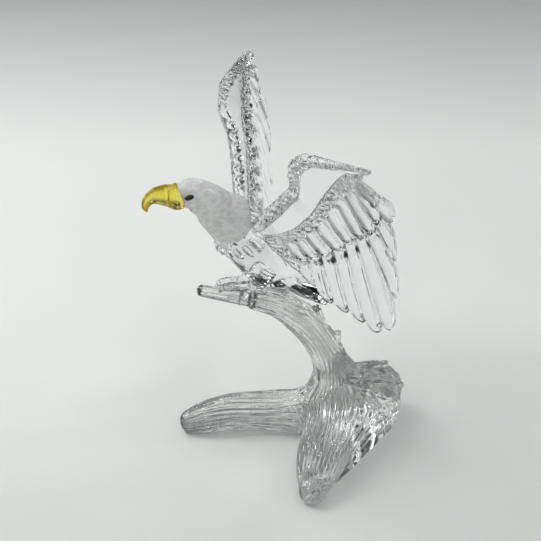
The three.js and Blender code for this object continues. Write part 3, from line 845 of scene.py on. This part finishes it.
def wing_bands(strip_lengths):
    """The plate's bands from its leading edge to the feather tips, as rows of place across the
    wing, greatest thickness, the share of each kind of relief (scale, covert, flight) and the
    steps to the next band. The place is the strip's number plus a share of it, or a width from
    one of its edges."""
    membrane, _, _ = strip_lengths
    one = np.ones_like(membrane)
    edge, root = edge_band_width, root_band_width
    return [
        (0 * one, 1.8, 1, 0, 0, 6),
        (np.minimum(edge * 0.4 / membrane, 0.15), 4.3, 1, 0, 0, 8),
        (np.minimum(edge / membrane, 0.36), 3.8, 1, 0, 0, 4),
        (np.minimum((edge + 0.4) / membrane, 0.42), 1.7, 0, 0, 0, 8),
        (1 - np.minimum((root + 0.4) / membrane, 0.42), 1.7, 0, 0, 0, 4),
        (1 - np.minimum(root / membrane, 0.36), 3.6, 1, 0, 0, 8),
        (1.06 * one, 4.0, 0.8, 0.2, 0, 6),
        (1.2 * one, 4.4, 0, 1, 0, 14),
        (1.6 * one, 4.7, 0, 1, 0, 12),
        (1.95 * one, 4.0, 0, 1, 0, 5),
        (2.04 * one, 1.9, 0, 0, 1, 8),
        (2.2 * one, 3.2, 0, 0, 1, 14),
        (2.55 * one, 3.6, 0, 0, 1, 16),
        (2.86 * one, 3.2, 0, 0, 1, 8),
        (2.98 * one, 1.8, 0, 0, 1, 3),
        (3 * one, 0.9, 0, 0, 1, 0),
    ]


def blend_rows(bands, column):
    """A column of the bands, eased from band to band over the steps that each band has."""
    rows = []
    for here, there in zip(bands[:-1], bands[1:]):
        s = np.arange(here[5]) / here[5]
        ease = s if column == 0 else s * s * (3 - 2 * s)
        a, b = (np.atleast_1d(np.asarray(band[column], float))[:, None] for band in (here, there))
        rows.append(a + (b - a) * ease[None, :])
    last = np.atleast_1d(np.asarray(bands[-1][column], float))[:, None]
    return np.concatenate(rows + [last], axis=1)


def wing_faces(columns_per_feather=24, root_columns=14):
    """Front and back points of a wing's plate. The middle surface lies straight between the four
    lines, the tips are rounded by a notch of |c|^3 for c from -1 to 1 across a feather, and each
    face stands half the thickness off it along the normal. A feather is cut like a low roof
    with a bevel on each side, and it tilts, so that one edge lies over the next feather. The
    rough bands carry a lattice of |sin(x + y)| |sin(x - y)|."""
    columns = feather_count * columns_per_feather
    root_places = np.linspace(-root_share, 0, root_columns, endpoint=False)
    u = np.concatenate([root_places, np.linspace(0, 1, columns + 1)])
    carriers = (leading_edge, feather_roots, covert_tips, feather_tips)
    lines = np.stack([wing_line(points, u) for points in carriers])
    lengths = np.linalg.norm(np.diff(lines, axis=0), axis=2)
    bands = wing_bands(lengths)
    place, thickness, scale, covert, flight = (blend_rows(bands, k) for k in range(5))
    across_feather = (2 * (u * feather_count - np.floor(u * feather_count)) - 1)[:, None]
    across_feather = np.where(u[:, None] < 0, 0, across_feather)
    place = place - covert_notch * np.abs(across_feather) ** 2.5 * np.exp(-(((place - 2) / 0.3) ** 2))
    strip = np.clip(np.floor(place).astype(int), 0, 2)
    within = place - strip
    at = np.arange(len(u))[:, None]
    notch = np.abs(across_feather) ** 3 * tip_notch * (strip == 2) * within**2 / lengths[2][:, None]

    def middle(reach):
        low, high = lines[strip, at], lines[strip + 1, at]
        return low + (within * reach)[..., None] * (high - low)

    smooth = middle(np.ones_like(within))
    chord = unit(np.gradient(smooth, axis=1))
    for _ in range(4):
        chord[:, 1:-1] = unit(chord[:, :-2] + chord[:, 1:-1] + chord[:, 2:])
    span = unit(np.gradient(smooth, axis=0))
    normal = unit(np.cross(chord, span))
    feather = covert + flight
    to_rim = 1 - np.abs(across_feather)
    bevel = np.where(across_feather < 0, low_bevel, high_bevel)
    lens = feather_rim + feather_rise * np.clip(to_rim / bevel, 0, 1) + feather_crown * (to_rim - 0.5)
    quill = np.exp(-((across_feather / quill_width) ** 2))
    along_edge = u[:, None] * 2.2 * np.pi * feather_count
    from_edge = within * lengths.T[at, strip] * np.pi / crust_pitch
    lattice = (np.abs(np.sin(along_edge + from_edge + 0.6 * np.sin(0.7 * along_edge)))
               * np.abs(np.sin(along_edge - from_edge + 0.5 * np.sin(0.43 * along_edge))))
    rooted = u[:, None] < 0
    feathered = np.where(rooted, 0.85, lens + quill_height * quill * flight)
    half = np.maximum(thickness * (1 + feather * (feathered - 1)), 0.5) / 2
    fade = smoothstep(1, 0.94, u)[:, None]
    rough = np.where(rooted, feather, scale * fade) * thickness * (0.5 * lattice - 0.25)
    tilt = np.where(rooted, 0, shingle_step * feather * across_feather * np.clip(thickness / 3.2, 0, 1))
    plate = middle(1 - notch) + tilt[..., None] * normal
    outer = np.maximum(half + rough, least_half)[..., None]
    inner = np.maximum(half - 0.3 * rough, least_half)[..., None]
    return plate + outer * normal, plate - inner * normal


def plate_shell(front, back):
    """Points and quads of a plate between two grids, closed round its edge."""
    rows, columns = front.shape[:2]
    number = np.arange(2 * rows * columns).reshape(2, rows, columns)
    one, two = number

    def quads(a, b, c, d):
        return np.stack([a, b, c, d], axis=-1).reshape(-1, 4)

    faces = [
        quads(one[:-1, :-1], one[:-1, 1:], one[1:, 1:], one[1:, :-1]),
        quads(two[:-1, :-1], two[1:, :-1], two[1:, 1:], two[:-1, 1:]),
        quads(one[:-1, 0], one[1:, 0], two[1:, 0], two[:-1, 0]),
        quads(one[:-1, -1], two[:-1, -1], two[1:, -1], one[1:, -1]),
        quads(one[0, :-1], two[0, :-1], two[0, 1:], one[0, 1:]),
        quads(one[-1, :-1], one[-1, 1:], two[-1, 1:], two[-1, :-1]),
    ]
    return np.concatenate([front.reshape(-1, 3), back.reshape(-1, 3)]), np.vstack(faces)


# A weld would join points in the narrow clefts between the feathers, and a plate's shell has
# no seam to close. The two faces change places in the mirror image, to keep them outward.
front_face, back_face = wing_faces()
for name, side in (("left_wing", -1), ("right_wing", 1)):
    mirror = np.array([1, side, 1])
    pair = (front_face, back_face) if side > 0 else (back_face, front_face)
    wing = new_piece(f"{name}_plate", [plate_shell(*(face * mirror + perch for face in pair))], weld=0)
    carve(wing, [closed_shell(torso_rings(glue_gap)), closed_shell(head_rings(glue_gap))])
    dress(wing, clear_crystal, name)

# Floor, light and camera: a pale matt table under a soft window light from the back left and
# seven small ceiling lamps, in a room with dark walls, a brighter ceiling and a few bright
# panes, which the crystal picks up as its glints. Places and sizes here are in metres.
table_half = 4
table_drop = 0.0002
table_roughness = 0.85
table_mottle_scale = 9
room_steps = ((0.0, 0.01), (0.3, 0.03), (0.45, 0.2), (0.8, 0.4))
room_tint = (0.97, 0.99, 1.0)
room_strength = 0.24
pane_scale = 6
pane_edges = (0.62, 0.64)
pane_level = 9.0
window_place = (-0.45, 0.3, 0.75)
window_size = 0.45
window_power = 3.3
lamp_size = 0.05
lamp_power = 0.3
lamp_places = ((0.1, -0.3, 0.9), (0.5, 0.6, 0.6), (-0.6, -0.3, 0.7), (0.6, -0.2, 0.6), (-0.2, 0.7, 0.5),
               (-0.7, 0.5, 0.35), (0.3, 0.1, 1.0))
camera_turn = np.radians(20)
camera_tilt = np.radians(30)
camera_place = (-0.1846, -0.4197, 0.3421)
camera_lens = 83.2


def table_top():
    """A flat square of table, just under the figurine."""
    mesh = bpy.data.meshes.new("table_top")
    corners = np.array([(-1, -1), (1, -1), (1, 1), (-1, 1)]) * table_half
    mesh.from_pydata(np.column_stack([corners, np.full(4, -table_drop)]).tolist(), [], [(0, 1, 2, 3)])
    piece = bpy.data.objects.new("table_top", mesh)
    bpy.context.scene.collection.objects.link(piece)
    return piece


def pale_paint_and_painted_falloff():
    """Matt off-white with a faint mottle, and painted shade: a little darker at the near edge and
    towards the back of the table, by the distance in metres along the way that the camera looks,
    where the light falls off, so that a painted pool of light lies round the figurine."""
    material = bpy.data.materials.new("pale_table")
    material.use_nodes = True
    shader = material.node_tree.nodes["Principled BSDF"]
    set_values(shader, Roughness=table_roughness)
    place = add_node(material, "TexCoord")
    noise = add_node(material, "TexNoise", Scale=table_mottle_scale, Detail=4)
    tone = add_mix(material, A=(0.80, 0.81, 0.79), B=(0.86, 0.87, 0.85))
    turn = add_node(material, "Mapping", Rotation=(0, 0, camera_turn))
    split = add_node(material, "SeparateXYZ")
    reach = add_node(material, "MapRange", From_Min=-0.2, From_Max=0.8)
    # Painted shade: this ramp darkens the table's colour at the near edge and at the back, where the light
    # falls off.
    ramp = add_ramp(material, (
        (0.08, (0.87, 0.87, 0.87)), (0.3, (1, 1, 1)), (0.5, (1, 1, 1)), (0.85, (0.55, 0.56, 0.57))))
    shade = add_mix(material, "MULTIPLY", Factor=1)
    join(material,
         (place, "Object", noise, "Vector"),
         (noise, "Fac", tone, "Factor"),
         (place, "Object", turn, "Vector"),
         (turn, "Vector", split, "Vector"),
         (split, "Y", reach, "Value"),
         (reach, "Result", ramp, "Fac"),
         (tone, "Result", shade, "A"),
         (ramp, "Color", shade, "B"),
         (shade, "Result", shader, "Base Color"))
    return material


def room_light():
    """A world of dark walls under a bright ceiling, by the height looked at, with bright panes
    here and there in the walls."""
    world = bpy.data.worlds.new("room")
    world.use_nodes = True
    background = world.node_tree.nodes["Background"]
    set_values(background, Strength=room_strength)
    place = add_node(world, "TexCoord")
    split = add_node(world, "SeparateXYZ")
    ramp = add_ramp(world, [(height, [level * part for part in room_tint]) for height, level in room_steps])
    patches = add_node(world, "TexNoise", Scale=pane_scale, Detail=0)
    sharpen = add_node(world, "MapRange", From_Min=pane_edges[0], From_Max=pane_edges[1])
    panes = add_mix(world, "LIGHTEN", B=[pane_level * part for part in room_tint])
    join(world,
         (place, "Generated", split, "Vector"),
         (place, "Generated", patches, "Vector"),
         (patches, "Fac", sharpen, "Value"),
         (split, "Z", ramp, "Fac"),
         (ramp, "Color", panes, "A"),
         (sharpen, "Result", panes, "Factor"),
         (panes, "Result", background, "Color"))
    bpy.context.scene.world = world


def soft_light(name, place, target, size, power):
    """A square lamp that faces a point, with its power in watts."""
    lamp = bpy.data.lights.new(name, "AREA")
    lamp.size = size
    lamp.energy = power
    holder = bpy.data.objects.new(name, lamp)
    bpy.context.scene.collection.objects.link(holder)
    holder.location = place
    holder.rotation_euler = (Vector(target) - Vector(place)).to_track_quat("-Z", "Y").to_euler()


floor = table_top()
floor.data.materials.append(pale_paint_and_painted_falloff())
room_light()
soft_light("window", window_place, (-0.05, 0, 0.03), window_size, window_power)
for number, place in enumerate(lamp_places):
    soft_light(f"ceiling_lamp_{number + 1}", place, (-0.02, 0, 0.06), lamp_size, lamp_power)
bpy.context.scene.view_settings.view_transform = "Standard"

camera = bpy.data.objects.new("camera", bpy.data.cameras.new("camera"))
camera.data.lens = camera_lens
camera.location = camera_place
gaze = Vector((np.sin(camera_turn) * np.cos(camera_tilt), np.cos(camera_turn) * np.cos(camera_tilt),
               -np.sin(camera_tilt)))
camera.rotation_euler = gaze.to_track_quat("-Z", "Y").to_euler()
bpy.context.scene.collection.objects.link(camera)
bpy.context.scene.camera = camera
